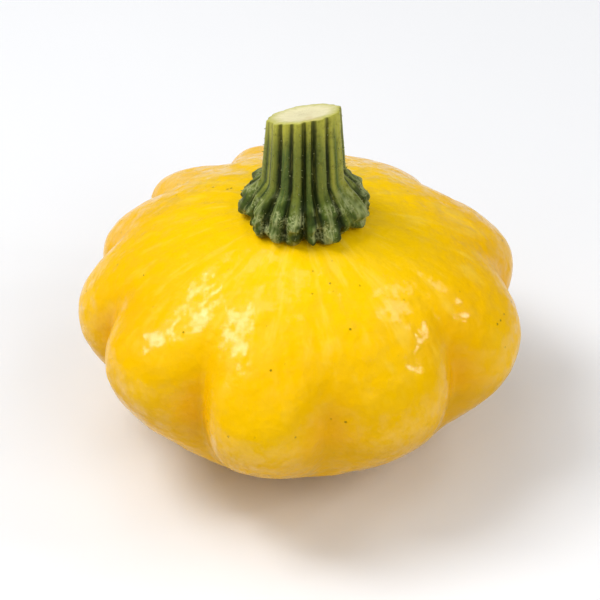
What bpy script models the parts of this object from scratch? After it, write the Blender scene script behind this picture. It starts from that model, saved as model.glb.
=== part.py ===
"""A yellow pattypan squash as picked: the scalloped fruit and its cut stem, standing on the blossom end."""

import math

import bmesh
import bpy
from mathutils import Vector

# The fruit, in metres. Its axis is +Z, and it rests on its blossom scar at height 0.
RIM_RADIUS = 0.0429  # axis to the rim, before the lobes are added
RIM_HEIGHT = 0.0298  # height of the widest line
CROWN_HEIGHT = 0.0538  # top of the fruit, a small level patch under the stem
CROWN_RADIUS = 0.0060
SCAR_RADIUS = 0.0085  # the flat, corky blossom scar underneath
TAPER_ABOVE = 1.26  # 1 makes this half of the profile an ellipse, and more makes it nearer a cone
TAPER_BELOW = 1.34

# The lobes round the rim, anticlockwise seen from above. Each has its share of the turn in degrees, how far
# its tip stands beyond the rim radius and above the rim height, in millimetres, and how far the valley
# where it begins lies inside the rim radius, in millimetres.
FIRST_VALLEY = 7.9  # degrees from the front, -Y, towards +X
LOBES = (
    (44.0, 0.3, -0.9, 2.1),
    (43.0, 2.5, -0.9, 4.4),
    (38.9, 3.5, 1.1, 1.8),
    (43.5, 2.2, 1.1, 3.6),
    (27.1, 3.5, 4.6, 3.0),
    (25.5, 3.7, 2.8, 2.3),
    (24.6, 1.8, 0.1, 2.3),
    (32.6, 2.0, -0.5, 3.0),
    (42.8, 2.1, 2.4, 4.0),
    (38.0, 4.0, 0.2, 4.4),
)
LOBE_FULLNESS = 2.6  # more makes the lobes broader and the valleys narrower
VALLEY_ROUNDING = 0.13  # softness of the valley floor, as a share of half a lobe
LOBE_TOP = 0.29  # shares of the way from crown to scar at which the lobes begin,
LOBE_PROUDEST = 0.508  # stand out furthest,
LOBE_END = 0.683  # and end on the plain bowl below

# The stem
STEM_SHIFT = 0.0008  # the stem stands this far towards +X of the fruit's axis
STEM_HEIGHT = 0.0233  # crown to the middle of the cut
STEM_TOP_RADIUS = 0.0074
STEM_WAIST_RADIUS = 0.0084
STEM_FOOT_RADIUS = 0.0126
WAIST_SHARE = 0.38  # shares of the height between which the shaft flares out into the foot
TOE_SHARE = 0.03
TOE_HEIGHT = 0.0026  # the ribs' toes tuck in below this height, to where they meet the fruit
TOE_TUCK = 0.0023
CUT_SLOPE_X, CUT_SLOPE_Y = 0.19, -0.40  # the knife went through at a slant
SEAT_GAP = 0.0003  # clearance between stem and fruit

# The ribs round the stem, broad and narrow in turn, each with its share of the turn in degrees and how far
# it stands out of the groove. The first begins in the groove at the front.
RIBS = (
    (14.0, 0.6),
    (25.0, 1.0),
    (13.0, 0.6),
    (26.0, 1.0),
    (14.0, 0.5),
    (26.0, 1.0),
    (15.0, 0.7),
    (27.0, 1.0),
    (16.0, 0.6),
    (27.0, 0.9),
    (15.0, 0.5),
    (28.0, 1.0),
    (16.0, 0.7),
    (26.0, 1.0),
    (12.0, 0.5),
    (20.0, 1.0),
    (20.0, 0.7),
    (20.0, 1.0),
)
GROOVE_DEPTH = 0.16  # share of the radius, from the crest of a full rib to the bottom of a groove
GROOVE_ROUNDING = 0.25
RIB_FULLNESS = 2.0

FRUIT_COLUMNS, FRUIT_ROWS = 100, 26
STEM_COLUMNS, STEM_ROWS = 144, 9
ROW_CROWDING = 1.5  # more brings the stem's rows closer together at its foot
SEAT_INSETS = (0.0, 0.5, 1.0)  # rings of the stem's underside, from the toes' edge to the level patch
SHARP_ANGLE = math.radians(50)
MILLIMETRE = 0.001


def smooth(share):
    """0 to 1 with level ends."""
    share = min(max(share, 0.0), 1.0)
    return share * share * (3.0 - 2.0 * share)


def quarter_turn(radius, taper):
    """The angle from the pole at which this half of the profile has this radius."""
    return math.asin((radius / RIM_RADIUS) ** (1.0 / taper))


CROWN_FALL = quarter_turn(CROWN_RADIUS, TAPER_ABOVE) / math.pi
SCAR_FALL = 1.0 - quarter_turn(SCAR_RADIUS, TAPER_BELOW) / math.pi


def profile(fall):
    """(radius, height) of the fruit without its lobes. The fall is 0 at the upper pole and 1 at the lower."""
    width, level = math.sin(math.pi * fall), math.cos(math.pi * fall)
    if fall < 0.5:
        rise = level / math.cos(math.pi * CROWN_FALL)
        return RIM_RADIUS * width**TAPER_ABOVE, RIM_HEIGHT + (CROWN_HEIGHT - RIM_HEIGHT) * rise
    drop = level / math.cos(math.pi * SCAR_FALL)
    return RIM_RADIUS * width**TAPER_BELOW, RIM_HEIGHT * (1.0 - drop)


def bulge_at(heading, bulges, rounding, fullness):
    """The swell at a heading (1 on a bulge, 0 in its valleys), which bulge that is, and the share passed."""
    along = heading % 360.0
    for index, (width, *_) in enumerate(bulges):
        if along < width:
            break
        along -= width
    passed = along / width
    edge = math.hypot(1.0, rounding)
    to_valley = 1.0 - abs(2.0 * passed - 1.0)
    fall_off = (edge - math.hypot(to_valley, rounding)) / (edge - rounding)
    return 1.0 - fall_off**fullness, index, passed


def on_circle(heading, radius, height):
    """A point at a heading in degrees from -Y towards +X."""
    angle = math.radians(heading)
    return Vector((radius * math.sin(angle), -radius * math.cos(angle), height))


def skin_point(heading, fall):
    """A point of the fruit's skin, where each valley's depth carries evenly over to the next."""
    radius, height = profile(fall)
    swell, index, passed = bulge_at(heading - FIRST_VALLEY, LOBES, VALLEY_ROUNDING, LOBE_FULLNESS)
    _, reach, lift, depth = LOBES[index]
    next_depth = LOBES[(index + 1) % len(LOBES)][3]
    depth += (next_depth - depth) * passed
    ended = min(max((fall - LOBE_PROUDEST) / (LOBE_END - LOBE_PROUDEST), 0.0), 1.0)
    strength = smooth((fall - LOBE_TOP) / (LOBE_PROUDEST - LOBE_TOP)) * (1.0 - ended**2)
    radius += strength * (reach * swell - depth * (1.0 - swell)) * MILLIMETRE
    height += strength * lift * swell * MILLIMETRE
    return on_circle(heading, radius, height)


def headings(count):
    return [360.0 * i / count for i in range(count)]


def ring_mesh(name, rings):
    """A closed mesh through rings of points, top to bottom, with an n-gon closing each end."""
    maker = bmesh.new()
    loops = [[maker.verts.new(point) for point in ring] for ring in rings]
    for upper, lower in zip(loops, loops[1:]):
        for i in range(len(upper)):
            maker.faces.new((upper[i - 1], lower[i - 1], lower[i], upper[i]))
    maker.faces.new(loops[0])
    maker.faces.new(reversed(loops[-1]))
    mesh = bpy.data.meshes.new(name)
    maker.to_mesh(mesh)
    maker.free()
    mesh.shade_smooth()
    mesh.set_sharp_from_angle(angle=SHARP_ANGLE)
    return mesh


def fruit_mesh():
    rings = []
    for row in range(FRUIT_ROWS + 1):
        fall = CROWN_FALL + (SCAR_FALL - CROWN_FALL) * row / FRUIT_ROWS
        rings.append([skin_point(heading, fall) for heading in headings(FRUIT_COLUMNS)])
    return ring_mesh("fruit", rings)


def groove(heading):
    """The share of the radius that the grooves leave at this heading."""
    swell, index, _ = bulge_at(heading, RIBS, GROOVE_ROUNDING, RIB_FULLNESS)
    return 1.0 - GROOVE_DEPTH * (1.0 - RIBS[index][1] * swell)


def shaft_radius(share):
    """Radius over the full ribs, at a share of the stem's height."""
    if share > WAIST_SHARE:
        up = (share - WAIST_SHARE) / (1.0 - WAIST_SHARE)
        return STEM_WAIST_RADIUS + (STEM_TOP_RADIUS - STEM_WAIST_RADIUS) * up
    flare = smooth((WAIST_SHARE - share) / (WAIST_SHARE - TOE_SHARE))
    return STEM_WAIST_RADIUS + (STEM_FOOT_RADIUS - STEM_WAIST_RADIUS) * flare


def seat_height(point):
    """Height of the stem's underside above or below a point, which follows the top of the fruit."""
    radius = math.hypot(point.x, point.y)
    fall = quarter_turn(max(radius, CROWN_RADIUS), TAPER_ABOVE) / math.pi
    return profile(fall)[1] + SEAT_GAP


def shaft_ring(share):
    """One ring of the stem's side, between the toes and the slanted cut."""
    ring = []
    for heading in headings(STEM_COLUMNS):
        point = on_circle(heading, shaft_radius(share) * groove(heading), 0.0)
        cut = CROWN_HEIGHT + STEM_HEIGHT + CUT_SLOPE_X * point.x + CUT_SLOPE_Y * point.y
        point.x += STEM_SHIFT
        foot = seat_height(point) + TOE_HEIGHT
        point.z = foot + (cut - foot) * share
        ring.append(point)
    return ring


def seat_ring(inset):
    """One ring of the underside. The inset is 0 at the toes' edge and 1 inside the crown's level patch."""
    ring = []
    for heading in headings(STEM_COLUMNS):
        edge = (STEM_FOOT_RADIUS - TOE_TUCK) * groove(heading)
        core = CROWN_RADIUS - STEM_SHIFT
        point = on_circle(heading, edge + (core - edge) * inset, 0.0)
        point.x += STEM_SHIFT
        point.z = seat_height(point)
        ring.append(point)
    return ring


def stem_mesh():
    shares = [(row / STEM_ROWS) ** ROW_CROWDING for row in range(STEM_ROWS, -1, -1)]
    rings = [shaft_ring(share) for share in shares]
    rings += [seat_ring(inset) for inset in SEAT_INSETS]
    return ring_mesh("stem", rings)


def add_node(mesh, colour, roughness):
    material = bpy.data.materials.new(mesh.name + "_colour")
    material.use_nodes = True
    surface = material.node_tree.nodes["Principled BSDF"]
    surface.inputs["Base Color"].default_value = (*colour, 1.0)
    surface.inputs["Roughness"].default_value = roughness
    surface.inputs["Metallic"].default_value = 0.0
    mesh.materials.append(material)
    bpy.context.scene.collection.objects.link(bpy.data.objects.new(mesh.name, mesh))


for leftover in list(bpy.data.objects):
    bpy.data.objects.remove(leftover)
add_node(fruit_mesh(), colour=(0.93, 0.55, 0.01), roughness=0.28)
add_node(stem_mesh(), colour=(0.13, 0.19, 0.04), roughness=0.6)
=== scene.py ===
import math

import bpy
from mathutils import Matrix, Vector


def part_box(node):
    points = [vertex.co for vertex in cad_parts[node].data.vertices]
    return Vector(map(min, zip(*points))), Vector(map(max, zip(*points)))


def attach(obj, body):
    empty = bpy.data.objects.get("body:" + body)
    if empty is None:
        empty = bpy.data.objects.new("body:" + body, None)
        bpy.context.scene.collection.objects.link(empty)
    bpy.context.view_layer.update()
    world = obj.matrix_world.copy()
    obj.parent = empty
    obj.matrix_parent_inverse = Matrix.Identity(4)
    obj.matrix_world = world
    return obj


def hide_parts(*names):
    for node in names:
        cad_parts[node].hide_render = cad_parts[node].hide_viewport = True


millimetre = 0.001
degree = math.radians(1.0)

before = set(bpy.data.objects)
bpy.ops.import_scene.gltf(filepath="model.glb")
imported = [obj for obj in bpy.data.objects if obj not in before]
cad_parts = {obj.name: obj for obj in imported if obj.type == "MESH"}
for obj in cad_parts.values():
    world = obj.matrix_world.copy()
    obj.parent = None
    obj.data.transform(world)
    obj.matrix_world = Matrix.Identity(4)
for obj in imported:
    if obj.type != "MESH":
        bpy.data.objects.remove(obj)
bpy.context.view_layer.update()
print("frame loaded:", ", ".join(sorted(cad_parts)))


# nodes written as Python expressions

class Wire:  # one output of a node, on which plain maths adds Math nodes
    def __init__(self, board, socket):
        self.board = board
        self.socket = socket

    def out(self, name):  # another output of the same node
        return Wire(self.board, self.socket.node.outputs[name])

    def __add__(self, other):
        return self.board.maths("ADD", self, other)

    def __radd__(self, other):
        return self.board.maths("ADD", other, self)

    def __sub__(self, other):
        return self.board.maths("SUBTRACT", self, other)

    def __rsub__(self, other):
        return self.board.maths("SUBTRACT", other, self)

    def __mul__(self, other):
        return self.board.maths("MULTIPLY", self, other)

    def __rmul__(self, other):
        return self.board.maths("MULTIPLY", other, self)

    def __truediv__(self, other):
        return self.board.maths("DIVIDE", self, other)

    def __rtruediv__(self, other):
        return self.board.maths("DIVIDE", other, self)

    def __pow__(self, other):
        return self.board.maths("POWER", self, other)

    def __neg__(self):
        return self.board.maths("MULTIPLY", self, -1.0)

    def __abs__(self):
        return self.board.maths("ABSOLUTE", self)


class Board:  # a node tree of either kind, being wired up
    def __init__(self, tree):
        self.tree = tree

    def node(self, kind, settings=None, sockets=None, out=0):
        made = self.tree.nodes.new(kind)
        for name, value in (settings or {}).items():  # these decide which sockets there are
            setattr(made, name, value)
        for name, value in (sockets or {}).items():
            for one in value if isinstance(value, list) else [value]:  # a list joins several wires
                if isinstance(one, Wire):
                    self.tree.links.new(one.socket, made.inputs[name])
                else:
                    made.inputs[name].default_value = one
        if made.outputs:
            return Wire(self, made.outputs[out])

    def maths(self, operation, *values):
        return self.node("ShaderNodeMath", {"operation": operation}, dict(enumerate(values)))

    def vector(self, operation, sockets):
        return self.node("ShaderNodeVectorMath", {"operation": operation}, sockets)

    def split(self, vector):
        parts = self.node("ShaderNodeSeparateXYZ", sockets={0: vector})
        return parts.out("X"), parts.out("Y"), parts.out("Z")

    def join(self, x, y, z):
        return self.node("ShaderNodeCombineXYZ", sockets={0: x, 1: y, 2: z})

    def remap(self, value, low, high, toLow=0.0, toHigh=1.0, soft=False):
        sockets = {0: value, 1: low, 2: high, 3: toLow, 4: toHigh}
        kind = "SMOOTHSTEP" if soft else "LINEAR"
        return self.node("ShaderNodeMapRange", {"interpolation_type": kind}, sockets)

    def noise(self, place, scale, seed, detail=2.0, roughness=0.5):
        sockets = {"Vector": place, "W": seed, "Scale": scale, "Detail": detail, "Roughness": roughness}
        return self.node("ShaderNodeTexNoise", {"noise_dimensions": "4D"}, sockets)

    def cells(self, place, scale, feature="F1"):  # distance to the nearest of scattered points
        return self.node("ShaderNodeTexVoronoi", {"feature": feature}, {"Vector": place, "Scale": scale})

    def mix(self, share, first, second):  # of colours, which are this node's sockets 6, 7 and output 2
        return self.node("ShaderNodeMix", {"data_type": "RGBA"}, {0: share, 6: first, 7: second}, 2)

    def attribute(self, name):  # a value that a tree kept on the mesh
        return self.node("ShaderNodeAttribute", {"attribute_name": name}, out="Fac")

    def objectPlace(self):
        return self.node("ShaderNodeTexCoord", out="Object")


def colour(red, green, blue):  # 0 to 255 as on a screen, turned linear
    shares = [level / 255.0 for level in (red, green, blue)]
    return tuple(s / 12.92 if s <= 0.04045 else ((s + 0.055) / 1.055) ** 2.4 for s in shares) + (1.0,)


socketKinds = {
    int: "NodeSocketInt",
    float: "NodeSocketFloat",
    bpy.types.Material: "NodeSocketMaterial",
}


def newTree(name, sizes, results=(("Geometry", "NodeSocketGeometry"),)):  # with an input for each size
    tree = bpy.data.node_groups.new(name, "GeometryNodeTree")
    for label, kind in results:
        tree.interface.new_socket(label, in_out="OUTPUT", socket_type=kind)
    for label, value in sizes.items():
        tree.interface.new_socket(label, in_out="INPUT", socket_type=socketKinds[type(value)])
    board = Board(tree)
    given = board.node("NodeGroupInput")
    return board, {label: given.out(label) for label in sizes}


def grow(name, tree, sizes):  # runs a tree once and keeps its plain mesh
    piece = bpy.data.objects.new(name, bpy.data.meshes.new(name))
    bpy.context.scene.collection.objects.link(piece)
    shaper = piece.modifiers.new("shape", "NODES")
    shaper.node_group = tree
    for item in tree.interface.items_tree:
        if item.in_out == "INPUT":
            shaper[item.identifier] = sizes[item.name]
    graph = bpy.context.evaluated_depsgraph_get()
    grown = piece.evaluated_get(graph)
    mesh = bpy.data.meshes.new_from_object(grown, preserve_all_data_layers=True, depsgraph=graph)
    piece.modifiers.remove(shaper)
    piece.data = mesh
    mesh.name = name
    print(f"{name}: {len(mesh.polygons)} faces")
    return piece


def keep(board, shape, values):
    # stores values on the points and reads them back from there, because anything worked out from a
    # position changes as soon as the points move
    kept = []
    for label, value in values.items():
        sockets = {"Geometry": shape, "Name": label, "Value": value}
        shape = board.node("GeometryNodeStoreNamedAttribute", sockets=sockets)
        kept.append(board.node("GeometryNodeInputNamedAttribute", sockets={"Name": label}))
    return shape, *kept


def finishShape(board, shape, material):
    shape = board.node("GeometryNodeRealizeInstances", sockets={0: shape})
    shape = board.node("GeometryNodeSetShadeSmooth", sockets={0: shape})
    shape = board.node("GeometryNodeSetMaterial", sockets={0: shape, "Material": material})
    board.node("NodeGroupOutput", sockets={0: shape})
    return board.tree


def makeMaterial(name):
    material = bpy.data.materials.new(name)
    material.use_nodes = True
    material.node_tree.nodes.clear()
    return material, Board(material.node_tree)


def finishMaterial(board, sockets):  # sockets of the Principled shader
    shader = board.node("ShaderNodeBsdfPrincipled", sockets=sockets)
    board.node("ShaderNodeOutputMaterial", sockets={"Surface": shader})


def bump(board, height, distance):
    return board.node("ShaderNodeBump", sockets={"Height": height, "Distance": distance})


def plainNumbers(look):  # the ones in a dictionary that go into its tree as they are
    return {label: value for label, value in look.items() if isinstance(value, (int, float))}


# one bulge of a scalloped outline: 1 on its middle, 0 in the valleys on both sides of it

def bulgeTree():
    labels = ("heading", "start", "width", "rounding", "squareness")
    results = (("swell", "NodeSocketFloat"), ("passed", "NodeSocketFloat"))
    board, given = newTree("bulge", dict.fromkeys(labels, 0.0), results)
    along = (given["heading"] - given["start"]) / given["width"]
    along = board.node("ShaderNodeClamp", sockets={0: along})
    offMiddle = abs(2.0 * along - 1.0)
    soft = given["rounding"] ** 2.0
    edge = (soft + 1.0) ** 0.5
    fallOff = (edge - ((1.0 - offMiddle) ** 2.0 + soft) ** 0.5) / (edge - given["rounding"])
    swell = 1.0 - fallOff ** given["squareness"]
    board.node("NodeGroupOutput", sockets={"swell": swell, "passed": along})
    return board.tree


bulge = bulgeTree()


def scallop(board, heading, bulges, rounding, squareness, valleys=()):
    # the swell of all the bulges together, then the sum of swell times each further column; a column
    # of the valleys at the bulges' starts is carried evenly from each valley to the next
    sums = [0.0] * len(bulges[0])
    carried = [column[0] for column in valleys]
    start = 0.0
    for turn, (width, *amounts) in enumerate(bulges):
        sockets = {
            "heading": heading,
            "start": start,
            "width": width,
            "rounding": rounding,
            "squareness": squareness,
        }
        swell = board.node("GeometryNodeGroup", {"node_tree": bulge}, sockets)
        sums = [total + swell * amount for total, amount in zip(sums, [1.0, *amounts])]
        for place, column in enumerate(valleys):
            step = column[(turn + 1) % len(column)] - column[turn]
            carried[place] = carried[place] + swell.out("passed") * step
        start += width
    return sums + carried


def makeBall(board, given):
    # each piece is a ball whose points are moved: their heading runs in degrees from the front towards
    # the right, 0 to 360, and their row from 0 at the upper pole to 1 at the lower one
    sockets = {"Segments": given["segments"], "Rings": given["rings"], "Radius": 1.0}
    ball = board.node("GeometryNodeMeshUVSphere", sockets=sockets)
    x, y, z = board.split(board.node("GeometryNodeInputPosition"))
    heading = board.maths("WRAP", board.maths("ARCTAN2", x, -y) / degree, 360.0, 0.0)
    return ball, heading, board.maths("ARCCOSINE", z) / math.pi


def widthAt(radius, given, taper):  # of the ellipse that half of the fruit's profile is tapered from
    return (radius / given["rimRadius"]) ** (1.0 / given[taper])


def fruitTop(board, radius, given):  # height of the fruit's upper side at a radius near the stem
    width = widthAt(board.maths("MAXIMUM", radius, given["crownRadius"]), given, "taperAbove")
    crownWidth = widthAt(given["crownRadius"], given, "taperAbove")
    rise = ((1.0 - width**2.0) / (1.0 - crownWidth**2.0)) ** 0.5
    return given["rimHeight"] + (given["crownHeight"] - given["rimHeight"]) * rise


fruitLow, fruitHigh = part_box("fruit")
# lengths in metres unless a note says otherwise; a fall is a place down the profile, from 0 at the upper
# pole to 1 at the lower one
fruitLook = {
    "shares": {
        "rimRadius": 0.948,  # before the lobes' own reach, of the mean half width
        "rimHeight": 0.554,  # of the crown's height
        "crownRadius": 0.14,  # the level patch under the stem, of the rim radius
        "scarRadius": 0.198,  # the blossom scar, of the rim radius
    },
    "taperAbove": 1.26,  # 1 makes this half of the profile an ellipse, and more makes it nearer a cone
    "taperBelow": 1.34,
    "firstValley": 7.9,  # degrees from the front towards the right
    "lobes": (  # degrees wide, millimetres of reach, millimetres of lift
        (44.0, 0.3, -0.9),
        (43.0, 2.5, -0.9),
        (38.9, 3.5, 1.1),
        (43.5, 2.2, 1.1),
        (27.1, 3.5, 4.6),
        (25.5, 3.7, 2.8),
        (24.6, 1.8, 0.1),
        (32.6, 2.0, -0.5),
        (42.8, 2.1, 2.4),
        (38.0, 4.0, 0.2),
    ),
    "valleyDepths": (2.8, 4.4, 1.8, 3.6, 3.0, 2.3, 2.3, 3.0, 4.0, 4.4),  # millimetres, at lobes' starts
    "valleyTops": (0.28, 0.21, 0.27, 0.27, 0.27, 0.27, 0.27, 0.27, 0.28, 0.25),  # falls they begin at
    "valleyRounding": 0.13,
    "fullness": 2.6,  # more makes the lobes broader and the valleys narrower
    "lobeProudest": 0.508,  # the falls at which the lobes stand out furthest
    "lobeEnd": 0.683,  # and have faded out again
    "underStem": 0.115,  # the fall down to which the stem covers the skin
    "coveredRows": 0.04,  # share of the ball's rows that lie there,
    "skinRows": 0.83,  # and share of them down to the scar
    "segments": 400,
    "rings": 208,
    "unevenness": 0.00055,  # slow swellings a lobe across
    "unevennessScale": 38.0,
    "dimples": 0.00034,  # faster ones, which break up the shine
    "dimpleScale": 170.0,
    "creases": 0.00016,  # fine furrows that run out from the stem
    "creaseCount": 21.0,
    "scarRelief": 0.0005,
    "scarEdge": 0.96,  # share of the scar's radius inside which it is sunk
    "scarRings": 0.0012,  # from one growth ring of the scar to the next
    "seed": 3.0,
}


def fruitTree(sizes):
    board, given = newTree("scallopedFruit", sizes)
    ball, heading, row = makeBall(board, given)

    # rows are spread so that most lie on the open skin and some are kept for the scar
    scarWidth = widthAt(given["scarRadius"], given, "taperBelow")
    scarFall = 1.0 - board.maths("ARCSINE", scarWidth) / math.pi
    underStem, covered, skinRows = given["underStem"], given["coveredRows"], given["skinRows"]
    fall = (
        board.remap(row, 0.0, covered, 0.0, underStem)
        + board.remap(row, covered, skinRows, 0.0, scarFall - underStem)
        + board.remap(row, skinRows, 1.0, 0.0, 1.0 - scarFall)
    )

    # the plain profile
    width = board.maths("MAXIMUM", board.maths("SINE", fall * math.pi), 0.0)
    level = board.maths("COSINE", fall * math.pi)
    above = board.maths("GREATER_THAN", level, 0.0)
    taper = above * given["taperAbove"] + (1.0 - above) * given["taperBelow"]
    radius = given["rimRadius"] * width**taper
    crownWidth = widthAt(given["crownRadius"], given, "taperAbove")
    rise = board.maths("MINIMUM", level / (1.0 - crownWidth**2.0) ** 0.5, 1.0)
    drop = board.maths("MINIMUM", -level / (1.0 - scarWidth**2.0) ** 0.5, 1.0)
    height = (
        given["rimHeight"]
        + above * (given["crownHeight"] - given["rimHeight"]) * rise
        - (1.0 - above) * given["rimHeight"] * drop
    )

    # the lobes
    along = board.maths("WRAP", heading - given["firstValley"], 360.0, 0.0)
    valleys = (fruitLook["valleyDepths"], fruitLook["valleyTops"])
    swell, reach, lift, depth, valleyTop = scallop(
        board, along, fruitLook["lobes"], given["valleyRounding"], given["fullness"], valleys
    )
    strength = board.remap(fall, valleyTop, given["lobeProudest"], soft=True)
    strength = strength * (1.0 - board.remap(fall, given["lobeProudest"], given["lobeEnd"]) ** 2.0)
    radius = radius + strength * (reach - depth * (1.0 - swell)) * millimetre
    height = height + strength * lift * millimetre
    angle = heading * degree
    values = {"fall": fall, "swell": swell, "lobing": strength, "angle": angle, "radius": radius}
    shape, fall, swell, strength, angle, radius = keep(board, ball, values)
    sideways = board.maths("SINE", angle)
    forwards = -board.maths("COSINE", angle)
    place = board.join(radius * sideways, radius * forwards, height)
    shape = board.node("GeometryNodeSetPosition", sockets={"Geometry": shape, "Position": place})

    # growth marks, in metres along the normal, fading out under the stem and where the fruit stands
    spot = board.node("GeometryNodeInputPosition")
    bared = board.remap(fall, underStem, underStem + 0.05, soft=True)
    bared = bared * (1.0 - board.remap(fall, scarFall - 0.06, scarFall - 0.01, soft=True))
    slow = board.noise(spot, given["unevennessScale"], given["seed"], 1.0) - 0.5
    quick = board.noise(spot, given["dimpleScale"], given["seed"] + 1.0, 2.0, 0.5) - 0.5
    around = board.join(sideways, forwards, fall * 0.8)
    wander = (board.noise(around, 1.6, given["seed"] + 2.0, 1.0) - 0.5) * 2.2
    crease = board.maths("SINE", angle * given["creaseCount"] + wander * math.pi)
    patchy = board.remap(board.noise(around, 4.0, given["seed"] + 3.0, 1.0), 0.35, 0.7)
    near = 1.0 - board.remap(fall, 0.16, 0.42, soft=True)
    marks = bared * (
        slow * given["unevenness"] * 2.0
        + quick * given["dimples"] * 2.0
        - crease * patchy * near * given["creases"]
    )

    # the blossom scar: a sunken disc with growth rings and cracks, inside a slightly wavy edge
    edgeWave = (board.noise(board.join(sideways, forwards, 0.0), 1.7, given["seed"] + 4.0, 2.0) - 0.5) * 0.3
    inside = given["scarEdge"] - radius / given["scarRadius"] + edgeWave * 0.3
    shape, scar = keep(board, shape, {"scar": board.remap(inside, 0.0, 0.1, soft=True)})
    ringed = board.maths("SINE", radius * math.tau / given["scarRings"] + edgeWave * 20.0)
    cracked = board.maths("SINE", angle * 9.0 + board.noise(around, 3.0, given["seed"] + 5.0, 2.0) * 9.0)
    cracked = board.remap(cracked, 0.8, 1.0, soft=True) * board.remap(inside, 0.2, 0.5)
    pit = 1.0 - board.remap(radius, 0.3 * millimetre, 1.1 * millimetre, soft=True)
    sunk = scar * given["scarRelief"] * (0.55 + 0.12 * ringed + 0.5 * cracked + 0.6 * pit)
    outwards = board.vector("SCALE", {0: board.node("GeometryNodeInputNormal"), "Scale": marks})
    raised = board.vector("ADD", {0: outwards, 1: board.join(0.0, 0.0, sunk)})
    shape = board.node("GeometryNodeSetPosition", sockets={"Geometry": shape, "Offset": raised})

    return finishShape(board, shape, given["material"])


skinLook = {
    "ripe": colour(249, 195, 0),
    # the riper tone of the random clouds, also used as painted shade in the valleys
    "deepToneAndShade": colour(237, 168, 0),
    "crown": colour(252, 207, 4),
    # painted sheen: the pale streaks that run out from the stem
    "sheenStreak": colour(255, 226, 96),
    # painted shade: the darker, duller colour of the underside that faces the floor
    "under": colour(224, 170, 12),
    "pore": colour(112, 112, 16),
    "scarPale": colour(214, 172, 118),
    "scarDark": colour(150, 106, 62),
    "valleyShade": 0.6,  # how far the valleys turn to the deep colour as painted shade,
    "cloudRipeness": 0.35,  # and the clouds over the whole skin
    "cloudScale": 45.0,
    "sheenStreakScale": 9.0,
    "sheenStreakStrength": 0.27,
    "poreScale": 420.0,
    "poreStrength": 0.6,
    "porePatchScale": 90.0,
    "fineScale": 900.0,  # of the cork, and of small changes in roughness
    "grainScale": 620.0,  # of the peel's relief,
    "rippleScale": 260.0,  # its ripples,
    "streakScale": 12.0,  # and the streaks down the lobes
    "waxScale": 360.0,
    "wax": 0.66,  # coat on the waxy patches,
    "bare": 0.02,  # and between them
    "waxRoughness": 0.1,
    "roughness": 0.3,
    "specular": 0.04,
    "relief": 0.0004,
}


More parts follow.
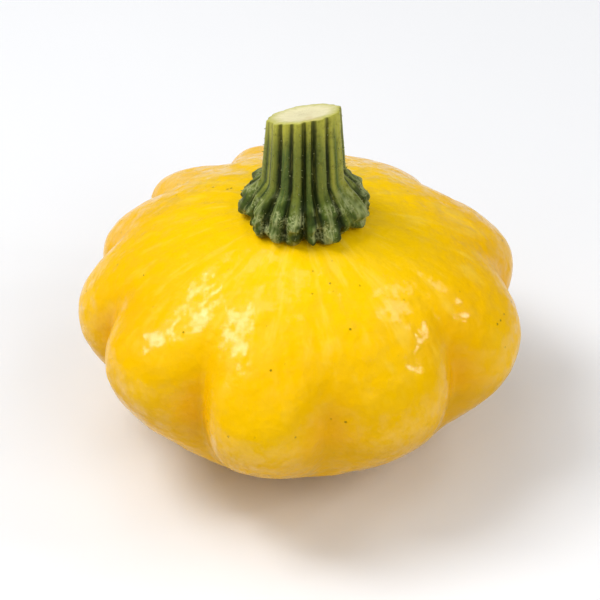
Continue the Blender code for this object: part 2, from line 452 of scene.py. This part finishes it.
def skinMaterial(look):
    material, board = makeMaterial("squashSkin")
    spot = board.objectPlace()
    x, y, z = board.split(spot)
    radius = (x * x + y * y) ** 0.5
    inverse = 1.0 / board.maths("MAXIMUM", radius, 0.1 * millimetre)
    fall, swell, lobing, scar = [board.attribute(name) for name in ("fall", "swell", "lobing", "scar")]

    # colour: darker in the valleys as painted shade, riper in random clouds, paler at the crown, darker and
    # duller below as painted shade, with painted sheen streaks out of the stem
    cloudy = board.noise(spot, look["cloudScale"], 1.0, 3.0, 0.6)
    # painted shade: the valleys darken towards the deep colour; the clouds are the skin's own uneven
    # ripeness
    valley = (1.0 - swell) * lobing
    ripenessAndValleyShade = valley * look["valleyShade"] + board.remap(cloudy, 0.4, 0.75) * look["cloudRipeness"]
    tint = board.mix(ripenessAndValleyShade, look["ripe"], look["deepToneAndShade"])
    crown = 1.0 - board.remap(fall, 0.14, 0.36, soft=True)
    tint = board.mix(crown * 0.8, tint, look["crown"])
    around = board.join(x * inverse, y * inverse, fall * 1.2)
    # painted sheen: pale streaks out of the stem, fading towards the rim
    sheenStreaks = board.noise(around, look["sheenStreakScale"], 2.0, 3.0, 0.6)
    sheenStreaks = board.remap(sheenStreaks, 0.5, 0.68, soft=True)
    sheenStreaked = sheenStreaks * (1.0 - board.remap(fall, 0.26, 0.5, soft=True))
    tint = board.mix(sheenStreaked * look["sheenStreakStrength"], tint, look["sheenStreak"])
    # painted shade on the underside, which faces down towards the floor
    underShade = board.remap(fall, 0.5, 0.57, soft=True)
    tint = board.mix(underShade * (0.85 + 0.15 * sheenStreaks), tint, look["under"])

    # pores: small green dots, scattered in patches
    dots = board.cells(spot, look["poreScale"])
    patches = board.remap(board.noise(spot, look["porePatchScale"], 5.0, 1.0), 0.46, 0.58)
    sparse = board.remap(board.noise(spot, look["poreScale"], 6.0, 0.0), 0.55, 0.6)
    pore = (1.0 - board.remap(dots, 0.06, 0.13)) * patches * sparse * (1.0 - scar)
    tint = board.mix(pore * look["poreStrength"], tint, look["pore"])

    # the corky scar
    cork = board.noise(spot, look["fineScale"], 7.0, 4.0, 0.7)
    ringed = board.maths("SINE", radius * math.tau / fruitLook["scarRings"] + cork * 2.0) * 0.5 + 0.5
    corky = board.mix(cork * 0.6 + ringed * 0.35, look["scarDark"], look["scarPale"])
    tint = board.mix(scar, tint, corky)

    # relief, and a wax that shines in small broken patches and less in the valleys
    fine = board.noise(spot, look["fineScale"], 8.0, 3.0, 0.6)
    rough = look["roughness"] + (cloudy - 0.5) * 0.16 + (fine - 0.5) * 0.08 + scar * 0.5
    grain = board.noise(spot, look["grainScale"], 9.0, 2.0, 0.5)
    peel = grain + board.noise(spot, look["rippleScale"], 10.0, 1.0, 0.5) * 2.0
    streak = board.noise(around, look["streakScale"], 11.0, 1.0, 0.5)
    streaky = board.remap(fall, 0.14, 0.32, soft=True) * (1.0 - board.remap(fall, 0.4, 0.55, soft=True))
    height = (peel + streak * streaky * 1.5) * (1.0 - scar) * 0.6 - pore * 0.6 + cork * scar * 1.5
    waxy = board.noise(spot, look["waxScale"], 12.0, 3.0, 0.65) + (streak - 0.5) * 0.5
    waxy = board.remap(waxy, 0.42, 0.6) * (1.0 - scar)
    finishMaterial(board, {
        "Base Color": tint,
        "Roughness": rough,
        "Normal": bump(board, height, look["relief"]),
        "Specular IOR Level": look["specular"],
        "Coat Weight": (look["bare"] + waxy * look["wax"]) * (1.0 - valley * 0.8),
        "Coat Roughness": look["waxRoughness"],
    })
    return material


halfWidth = (fruitHigh.x - fruitLow.x + fruitHigh.y - fruitLow.y) / 4.0
shares = fruitLook["shares"]
rimRadius = halfWidth * shares["rimRadius"]
bodySizes = {  # shared by the fruit and by the stem that sits on it
    "rimRadius": rimRadius,
    "rimHeight": fruitHigh.z * shares["rimHeight"],
    "crownHeight": fruitHigh.z,
    "crownRadius": rimRadius * shares["crownRadius"],
    "taperAbove": fruitLook["taperAbove"],
}
fruitSizes = {
    **bodySizes,
    **plainNumbers(fruitLook),
    "scarRadius": rimRadius * shares["scarRadius"],
    "material": skinMaterial(skinLook),
}
fruitSkin = grow("fruitSkin", fruitTree(fruitSizes), fruitSizes)
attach(fruitSkin, "root")
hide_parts("fruit")


stemLook = {
    "shift": 0.0008,  # towards +X of the fruit's axis
    "cutHeight": 0.0233,  # crown to the middle of the cut
    "topRadius": 0.0074,
    "waistRadius": 0.0084,
    "footRadius": 0.0123,
    "waistShare": 0.34,  # shares of the height between which the shaft flares out into the foot
    "toeShare": 0.05,
    "toeHeight": 0.0026,  # the toes are rounded off below this height,
    "toeTuck": 0.0024,  # and by this much
    "gap": 0.0001,  # to the fruit
    "cutSlopeX": 0.19,  # the knife went through at a slant
    "cutSlopeY": -0.40,
    "cutHollow": 0.0004,
    "cutRows": 0.16,  # shares of the ball's rows down to the cut's edge,
    "sideRows": 0.72,  # the side's foot,
    "toeRows": 0.89,  # and the toes' lower edge
    "ribs": (  # degrees wide, share of a full height, millimetres the toe swells out, yellowness
        (14.0, 0.6, 0.0, 0.1),
        (25.0, 1.0, 0.4, 0.3),
        (13.0, 0.8, 0.1, 0.9),
        (26.0, 1.0, 0.9, 1.0),
        (14.0, 0.5, 0.3, 0.7),
        (26.0, 1.0, 0.6, 0.5),
        (15.0, 0.7, 0.2, 0.2),
        (27.0, 1.0, 0.8, 0.6),
        (16.0, 0.6, 0.2, 0.3),
        (27.0, 0.9, 0.7, 0.5),
        (15.0, 0.5, 0.3, 0.1),
        (28.0, 1.0, 0.8, 0.7),
        (16.0, 0.7, 0.1, 0.3),
        (26.0, 1.0, 0.7, 0.6),
        (12.0, 0.5, 0.2, 0.6),
        (20.0, 1.0, 0.8, 0.4),
        (20.0, 0.7, 0.3, 0.0),
        (20.0, 1.0, 0.4, 0.35),
    ),
    "grooves": (  # share of a full groove's depth, at each rib's start
        1.0, 1.0, 0.7, 0.12, 0.5, 0.8, 0.6, 0.9, 0.5, 0.9, 0.7, 0.9, 0.6, 0.8, 0.4, 0.4, 0.8, 0.7,
    ),
    "grooveDepth": 0.2,  # share of the radius
    "grooveRounding": 0.22,
    "fullness": 2.6,  # more makes the ribs broader and the grooves narrower
    "segments": 320,
    "rings": 130,
    "fibres": 0.00016,
    "fibreScale": 16.0,
    "lumps": 0.0021,  # the toes' knobbles
    "lumpScale": 290.0,
    "warts": 0.0009,  # smaller ones
    "wartScale": 520.0,
    "cutScale": 700.0,  # of the cut's roughness
    "cutRoughness": 0.0003,
    "cutLip": 0.0003,  # the cut's edge is rounded off by this
    "prickleDensity": 260000.0,  # on a square metre
    "prickleWidth": 0.00022,
    "prickleLength": 0.0003,
    "seed": 11.0,
}


def stemTree(sizes):
    board, given = newTree("ribbedStem", sizes)
    ball, heading, row = makeBall(board, given)
    angle = heading * degree

    # rows: the cut face, the side, the toes' rounding and the underside
    cutRows, sideRows, toeRows = given["cutRows"], given["sideRows"], given["toeRows"]
    across = board.remap(row, 0.0, cutRows)
    share = 1.0 - board.remap(row, cutRows, sideRows)
    toe = board.remap(row, sideRows, toeRows)
    under = board.remap(row, toeRows, 1.0)

    # ribs
    grooves = (stemLook["grooves"],)
    swell, proud, knob, yellow, sunk = scallop(
        board, heading, stemLook["ribs"], given["grooveRounding"], given["fullness"], grooves
    )
    cutFace = 1.0 - board.remap(row, cutRows - 0.006, cutRows + 0.004)
    values = {
        "sideways": board.maths("SINE", angle),
        "forwards": -board.maths("COSINE", angle),
        "share": share,
        "sunk": (1.0 - swell) * sunk,  # in the grooves
        "slim": swell - proud,  # on the lower ribs
        "knob": knob * millimetre,
        "yellow": yellow,
        "cutFace": cutFace,
        "across": across,
        "toe": toe,
        "under": under,
    }
    shape, *kept = keep(board, ball, values)
    sideways, forwards, share, sunk, slim, knob, yellow, cutFace, across, toe, under = kept
    low = 1.0 - board.remap(share, 0.1, 0.32, soft=True)  # 1 on the toes, where ribs are nearly level
    # grooves are shallower on the toes and towards the cut
    deepness = 0.45 + 0.4 * (1.0 - board.remap(share, 0.75, 1.0)) - 0.2 * low
    groove = 1.0 - given["grooveDepth"] * deepness * (sunk + slim * (1.0 - 0.75 * low)) * across**3.0

    # the side, flaring into the foot
    up = board.remap(share, given["waistShare"], 1.0)
    flare = 1.0 - board.remap(share, given["toeShare"], given["waistShare"], soft=True)
    side = (
        given["waistRadius"]
        + (given["topRadius"] - given["waistRadius"]) * up
        + (given["footRadius"] - given["waistRadius"]) * flare
        + knob * low * (1.0 - toe**2.0)
    )
    tuck = given["toeTuck"] * (1.0 - board.maths("COSINE", toe * (math.pi / 2.0)))
    radius = (side - tuck) * groove

    # long fibres on the shaft, knobbles on the toes, both placed on a plain round column
    around = board.join(sideways, forwards, share * 0.25)
    fibre = board.noise(around, given["fibreScale"], given["seed"], 3.0, 0.6) - 0.5
    columnRadius, columnHeight, columnToe = 0.011, 0.024, 0.003
    columnUp = share * columnHeight - toe * columnToe
    spot = board.join(sideways * columnRadius, forwards * columnRadius, columnUp)
    lump = board.noise(spot, given["lumpScale"], given["seed"] + 1.0, 1.0, 0.5) - 0.5
    wart = 0.4 - board.cells(spot, given["wartScale"], "SMOOTH_F1")
    closed = board.maths("MINIMUM", across, 1.0 - under)
    radius = closed * (
        radius
        + fibre * given["fibres"] * 2.0
        + low * (1.0 - under) * (lump * given["lumps"] + wart * given["warts"]) * 2.0
    )

    # heights, with a rough, slightly hollow cut whose edge is rounded off
    x, y = radius * sideways, radius * forwards
    cut = given["crownHeight"] + given["cutHeight"] + x * given["cutSlopeX"] + y * given["cutSlopeY"]
    x = x + given["shift"]
    seat = fruitTop(board, (x * x + y * y) ** 0.5, given) + given["gap"]
    foot = seat + given["toeHeight"] * (1.0 - board.maths("SINE", toe * (math.pi / 2.0)))
    rough = board.noise(board.join(x, y, 0.0), given["cutScale"], given["seed"] + 3.0, 2.0) - 0.5
    rough = rough * given["cutRoughness"]
    hollow = given["cutHollow"] * (1.0 - board.remap(across, 0.35, 0.97, soft=True))
    lip = given["cutLip"] * board.remap(across, 0.88, 1.0)
    top = board.remap(share, 0.97, 1.0)
    height = foot + (cut - foot) * share + top * (rough - hollow - lip)
    place = board.join(x, y, height)
    shape = board.node("GeometryNodeSetPosition", sockets={"Geometry": shape, "Position": place})

    # short stiff prickles, scattered over the ribs
    bare = board.maths("MAXIMUM", cutFace, toe) + board.remap(share, 0.9, 0.97)
    density = given["prickleDensity"] * (1.0 - sunk) * (1.0 - board.remap(bare, 0.0, 0.2))
    sockets = {"Mesh": shape, "Density": density, "Seed": given["seed"]}
    points = board.node("GeometryNodeDistributePointsOnFaces", sockets=sockets)
    sockets = {
        "Vertices": 5,
        "Radius Top": given["prickleWidth"] * 0.15,
        "Radius Bottom": given["prickleWidth"] * 0.5,
        "Depth": given["prickleLength"],
    }
    prickle = board.node("GeometryNodeMeshCone", sockets=sockets)
    prickle, _ = keep(board, prickle, {"prickle": 1.0})
    smallest, largest = 0.5, 1.4  # sockets 2, 3 and output 1 are the node's plain numbers
    size = board.node("FunctionNodeRandomValue", {"data_type": "FLOAT"}, {2: smallest, 3: largest}, 1)
    sockets = {"Points": points, "Instance": prickle, "Rotation": points.out("Rotation"), "Scale": size}
    prickles = board.node("GeometryNodeInstanceOnPoints", sockets=sockets)
    shape = board.node("GeometryNodeJoinGeometry", sockets={0: [shape, prickles]})
    return finishShape(board, shape, given["material"])


barkLook = {
    "crestGreen": colour(84, 104, 44),
    "crestYellow": colour(158, 158, 52),
    "crestTop": colour(186, 184, 66),
    "groove": colour(26, 36, 4),
    "toe": colour(70, 92, 30),
    "toeEdge": colour(150, 128, 12),
    "vein": colour(186, 192, 130),
    "cutPith": colour(238, 230, 186),
    "cutRim": colour(190, 188, 86),
    "cutBrown": colour(206, 176, 112),
    "fibreScale": 20.0,
    "wanderScale": 6.0,  # of the slow changes from rib to rib
    "blotchScale": 900.0,
    "speckleScale": 1500.0,
    "patchScale": 300.0,
    "pithScale": 700.0,
    "bundleScale": 900.0,
    "driedScale": 160.0,
    "roughness": 0.5,
    "specular": 0.2,
    "relief": 0.00015,
}


def barkMaterial(look):
    material, board = makeMaterial("stemBark")
    spot = board.objectPlace()
    names = ("sideways", "forwards", "share", "sunk", "yellow", "cutFace", "across", "toe", "prickle")
    kept = [board.attribute(name) for name in names]
    sideways, forwards, share, sunk, yellow, cutFace, across, toe, prickle = kept

    # ribs light, grooves dark, with long fibres and small blotches
    around = board.join(sideways, forwards, share * 0.3)
    fibre = board.noise(around, look["fibreScale"], 1.0, 4.0, 0.65)
    wander = board.noise(around, look["wanderScale"], 6.0, 2.0, 0.5)
    blotch = board.noise(spot, look["blotchScale"], 2.0, 3.0, 0.65)
    low = 1.0 - board.remap(share + (wander - 0.5) * 0.2, 0.14, 0.34, soft=True)
    high = board.remap(share + (wander - 0.5) * 0.5, 0.62, 1.05, soft=True)
    tint = board.mix(yellow, look["crestGreen"], look["crestYellow"])
    tint = board.mix(high, tint, look["crestTop"])
    tint = board.mix(low * 0.8, tint, look["toe"])
    grooved = board.remap(sunk + (fibre - 0.5) * 0.7, 0.08, 0.6, soft=True)
    tint = board.mix(grooved * (0.95 - 0.25 * high), tint, look["groove"])
    tint = board.mix(board.remap(fibre, 0.5, 0.75) * 0.3, tint, look["crestTop"])
    tint = board.mix(board.remap(blotch, 0.5, 0.72) * 0.5, tint, look["groove"])

    # pale speckles and streaks over the toes, and the olive light on their undersides
    speckle = board.noise(spot, look["speckleScale"], 3.0, 3.0, 0.7)
    patch = board.noise(spot, look["patchScale"], 4.0, 2.0, 0.5)
    shaded = 1.0 - board.remap(patch, 0.36, 0.5, soft=True)
    tint = board.mix(shaded * low * 0.6, tint, look["groove"])
    frosted = board.remap(patch, 0.46, 0.6, soft=True) * low
    speckled = board.remap(speckle, 0.44, 0.62) * frosted
    lines = 1.0 - board.remap(abs(wander - 0.5), 0.0, 0.05)
    speckled = board.maths("MAXIMUM", speckled, lines * low * board.remap(patch, 0.4, 0.55) * 0.8)
    tint = board.mix(speckled * 0.85, tint, look["vein"])
    tint = board.mix(prickle * 0.4, tint, look["vein"])
    tint = board.mix(board.remap(toe, 0.2, 0.8, soft=True) * 0.75, tint, look["toeEdge"])

    # the cut: pale pith, a green rim and a dried patch
    pithy = board.noise(spot, look["pithScale"], 3.0, 3.0, 0.6)
    bundles = board.cells(spot, look["bundleScale"])
    ring = board.remap(across, 0.62, 0.74, soft=True) * (1.0 - board.remap(across, 0.78, 0.9, soft=True))
    rim = board.remap(across + (pithy - 0.5) * 0.3, 0.62, 1.0)
    face = board.mix(rim, look["cutPith"], look["cutRim"])
    face = board.mix(ring * (1.0 - board.remap(bundles, 0.1, 0.4)) * 0.4, face, look["cutRim"])
    dried = board.remap(board.noise(spot, look["driedScale"], 4.0, 2.0), 0.56, 0.7)
    face = board.mix(dried * 0.4, face, look["cutBrown"])
    tint = board.mix(cutFace, tint, face)

    rough = look["roughness"] + (blotch - 0.5) * 0.2 + cutFace * 0.2
    height = fibre + blotch * 0.8 + speckled * 0.5 + cutFace * pithy * 1.5
    finishMaterial(board, {
        "Base Color": tint,
        "Roughness": rough,
        "Normal": bump(board, height, look["relief"]),
        "Specular IOR Level": look["specular"],
    })
    return material


stemSizes = {**bodySizes, **plainNumbers(stemLook), "material": barkMaterial(barkLook)}
stemBark = grow("stemBark", stemTree(stemSizes), stemSizes)
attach(stemBark, "root")
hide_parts("stem")


stageLook = {
    "floorSize": 6.0,
    "floor": colour(249, 250, 252),
    "floorShade": colour(244, 245, 248),
    "mottleScale": 6.0,
    "grainScale": 900.0,
    "relief": 0.00002,
    "world": 0.17,  # brightness of the white surroundings
    "lights": {  # metres from the axis, metres across, watts, and whether the skin mirrors it
        "keyLeft": ((-0.49, 0.06, 0.57), 0.19, 1.2, True),
        "keyRight": ((-0.33, -0.02, 0.68), 0.23, 1.35, True),
        "keyBack": ((-0.38, 0.17, 0.67), 0.14, 0.5, True),
        "paneRight": ((0.43, 0.15, 0.65), 0.2, 0.42, True),
        "window": ((-0.12, 0.18, 0.74), 0.32, 0.55, True),
        "side": ((0.53, 0.03, 0.39), 0.09, 0.28, True),
        "sideLow": ((0.50, -0.10, 0.34), 0.06, 0.16, True),
        "right": ((0.42, -0.50, 0.58), 0.5, 1.9, False),
        "top": ((0.1, 0.1, 1.3), 1.5, 1.0, True),
        "front": ((-0.52, -0.62, 0.8), 1.2, 2.9, False),
    },
    "elevation": 37.7,  # the camera's, in degrees
    "distance": 0.75,
    "lens": 222.0,  # millimetres
    "aim": 0.031,  # height that the camera and the lights point at
}


def floorMaterial(look):
    material, board = makeMaterial("paleFloor")
    spot = board.objectPlace()
    mottle = board.noise(spot, look["mottleScale"], 1.0, 4.0, 0.6)
    grain = board.noise(spot, look["grainScale"], 2.0, 2.0, 0.6)
    finishMaterial(board, {
        "Base Color": board.mix(mottle, look["floor"], look["floorShade"]),
        "Roughness": 0.55 + grain * 0.15,
        "Normal": bump(board, grain, look["relief"]),
    })
    return material


def makeFloor(look):
    half = look["floorSize"] / 2.0
    mesh = bpy.data.meshes.new("floor")
    corners = [(-half, -half, 0.0), (half, -half, 0.0), (half, half, 0.0), (-half, half, 0.0)]
    mesh.from_pydata(corners, [], [(0, 1, 2, 3)])
    mesh.materials.append(floorMaterial(look))
    floor = bpy.data.objects.new("floor", mesh)
    bpy.context.scene.collection.objects.link(floor)


def aimAt(thing, target):
    thing.rotation_euler = (target - thing.location).to_track_quat("-Z", "Y").to_euler()


def makeLight(name, place, size, power, mirrored, target):
    lamp = bpy.data.lights.new(name, "AREA")
    lamp.size = size
    lamp.energy = power
    light = bpy.data.objects.new(name, lamp)
    light.location = place
    light.visible_glossy = mirrored
    bpy.context.scene.collection.objects.link(light)
    aimAt(light, target)


def makeStage(look):
    scene = bpy.context.scene
    target = Vector((0.0, 0.0, look["aim"]))
    makeFloor(look)
    for name, (place, size, power, mirrored) in look["lights"].items():
        makeLight(name, place, size, power, mirrored, target)
    world = bpy.data.worlds.new("studio")
    world.use_nodes = True
    background = world.node_tree.nodes["Background"]
    background.inputs["Color"].default_value = (1.0, 1.0, 1.0, 1.0)
    background.inputs["Strength"].default_value = look["world"]
    scene.world = world
    lens = bpy.data.cameras.new("camera")
    lens.lens = look["lens"]
    camera = bpy.data.objects.new("camera", lens)
    slope = math.radians(look["elevation"])
    back = Vector((0.0, -math.cos(slope), math.sin(slope)))
    camera.location = target + back * look["distance"]
    scene.collection.objects.link(camera)
    aimAt(camera, target)
    scene.camera = camera
    scene.view_settings.view_transform = "Standard"
    print("stage set")


makeStage(stageLook)
